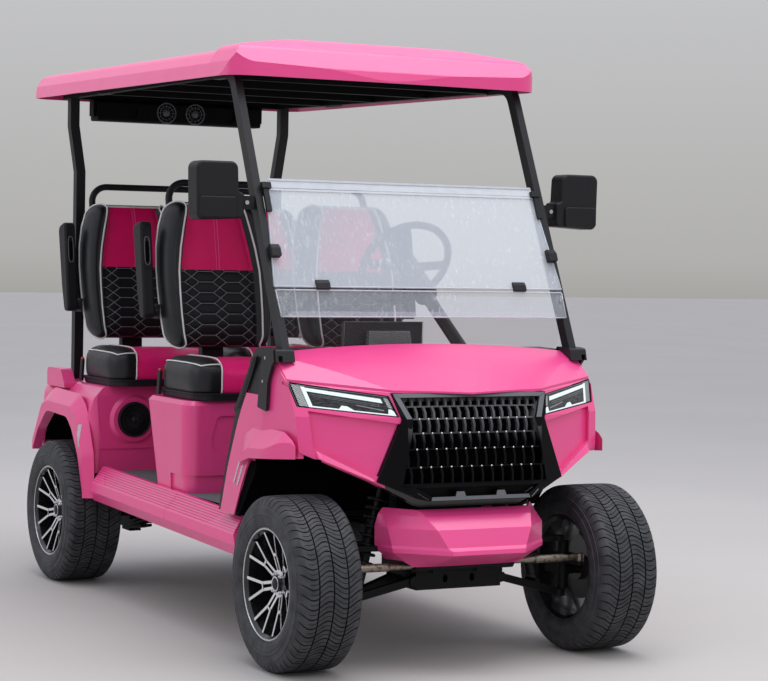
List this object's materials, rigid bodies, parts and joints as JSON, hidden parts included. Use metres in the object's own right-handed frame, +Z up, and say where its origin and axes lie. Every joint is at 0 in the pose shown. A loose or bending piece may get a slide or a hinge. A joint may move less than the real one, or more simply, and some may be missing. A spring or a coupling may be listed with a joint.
{
  "type": "golf cart",
  "caption": "Open passenger golf cart with a moulded roof, fold-down screen, two rows of bucket seats and raised suspension; it steers, rolls and has fold-down armrests.",
  "frame": {"origin": "on the ground, under the middle of the cart's length and width", "axes": "+X to the cart's left, the driver's side; +Y to the rear; +Z up"},
  "size_m": [1.611, 2.95, 2.1674],
  "materials": {
    "body_paint": "gloss",
    "black_plastic": "matte",
    "black_steel": "satin",
    "tyre_rubber": "matte",
    "alloy": "machined and black",
    "steel": "satin",
    "clear_screen": "clear",
    "lamp_lens": "gloss",
    "tail_lens": "gloss",
    "seat_vinyl": "satin",
    "grip": "soft",
    "mat": "matte"
  },
  "bodies": {
    "cart": {"chassis_frame": "black_steel", "front_suspension": "black_steel", "front_shocks": "steel", "steering_rack": "black_steel", "rear_axle": "black_steel", "rear_springs": "black_steel", "battery_pack": "black_plastic", "front_cowl": "body_paint", "hood": "body_paint", "grille": "black_plastic", "headlamps": "lamp_lens", "lower_bumper": "body_paint", "fender_flares": "body_paint", "sills": "body_paint", "floor": "mat", "seat_pod": "body_paint", "rear_body": "body_paint", "wheel_liners": "black_plastic", "tail_lamps": "tail_lens", "rear_bumper": "black_steel", "dashboard": "black_plastic", "steering_column": "black_plastic", "pedals": "black_plastic", "seat_cushions": "seat_vinyl", "seat_backs": "seat_vinyl", "seat_frames": "black_plastic", "roof_pillars": "black_steel", "windscreen": "clear_screen", "windscreen_fittings": "black_plastic", "roof": "body_paint", "roof_frame": "black_steel", "roof_lining": "black_plastic", "sound_bar": "black_plastic", "speakers": "black_plastic", "mirrors": "black_plastic"},
    "knuckle_left": {"knuckle_left": "black_steel"},
    "knuckle_right": {"knuckle_right": "black_steel"},
    "rack": {"tie_rods": "steel"},
    "steering_wheel": {"steering_wheel": "grip"},
    "wheel_front_left": {"tyre_front_left": "tyre_rubber", "rim_front_left": "alloy"},
    "wheel_front_right": {"tyre_front_right": "tyre_rubber", "rim_front_right": "alloy"},
    "wheel_rear_left": {"tyre_rear_left": "tyre_rubber", "rim_rear_left": "alloy"},
    "wheel_rear_right": {"tyre_rear_right": "tyre_rubber", "rim_rear_right": "alloy"},
    "armrest_front_left": {"armrest_front_left": "grip"},
    "armrest_front_right": {"armrest_front_right": "grip"},
    "armrest_rear_left": {"armrest_rear_left": "grip"},
    "armrest_rear_right": {"armrest_rear_right": "grip"}
  },
  "joints": [
    {"name": "steer_right", "type": "hinge", "parent": "cart", "child": "knuckle_right", "pos_m": [-0.47, -1.18, 0.292], "axis": [0, 0, 1], "range_deg": [-28, 28]},
    {"name": "steer_left", "type": "hinge", "parent": "cart", "child": "knuckle_left", "pos_m": [0.47, -1.18, 0.292], "axis": [0, 0, 1], "range_deg": [-28, 28]},
    {"name": "rack_slide", "type": "slide", "parent": "cart", "child": "rack", "axis": [1, 0, 0], "range_m": [-0.054, 0.054]},
    {"name": "steering_wheel_turn", "type": "hinge", "parent": "cart", "child": "steering_wheel", "pos_m": [0.285, -0.3, 1.352], "axis": [0, 0.829, 0.5592], "range_deg": [-364, 364]},
    {"name": "spin_front_left", "type": "hinge", "parent": "knuckle_left", "child": "wheel_front_left", "pos_m": [0.572, -1.18, 0.292], "axis": [1, 0, 0], "continuous": true},
    {"name": "spin_front_right", "type": "hinge", "parent": "knuckle_right", "child": "wheel_front_right", "pos_m": [-0.572, -1.18, 0.292], "axis": [1, 0, 0], "continuous": true},
    {"name": "spin_rear_left", "type": "hinge", "parent": "cart", "child": "wheel_rear_left", "pos_m": [0.572, 1.02, 0.292], "axis": [1, 0, 0], "continuous": true},
    {"name": "spin_rear_right", "type": "hinge", "parent": "cart", "child": "wheel_rear_right", "pos_m": [-0.572, 1.02, 0.292], "axis": [1, 0, 0], "continuous": true},
    {"name": "armrest_front_left_fold", "type": "hinge", "parent": "cart", "child": "armrest_front_left", "pos_m": [0.555, 0.196, 1.15], "axis": [1, 0, 0], "range_deg": [0, 98]},
    {"name": "armrest_front_right_fold", "type": "hinge", "parent": "cart", "child": "armrest_front_right", "pos_m": [-0.555, 0.196, 1.15], "axis": [1, 0, 0], "range_deg": [0, 98]},
    {"name": "armrest_rear_left_fold", "type": "hinge", "parent": "cart", "child": "armrest_rear_left", "pos_m": [0.555, 1.076, 1.15], "axis": [1, 0, 0], "range_deg": [0, 98]},
    {"name": "armrest_rear_right_fold", "type": "hinge", "parent": "cart", "child": "armrest_rear_right", "pos_m": [-0.555, 1.076, 1.15], "axis": [1, 0, 0], "range_deg": [0, 98]}
  ],
  "couplings": [
    {"joint": "steer_left", "follows": "steer_right", "ratio": 1},
    {"joint": "rack_slide", "follows": "steer_right", "m_per_rad": 0.11},
    {"joint": "steering_wheel_turn", "follows": "steer_right", "ratio": 13}
  ]
}
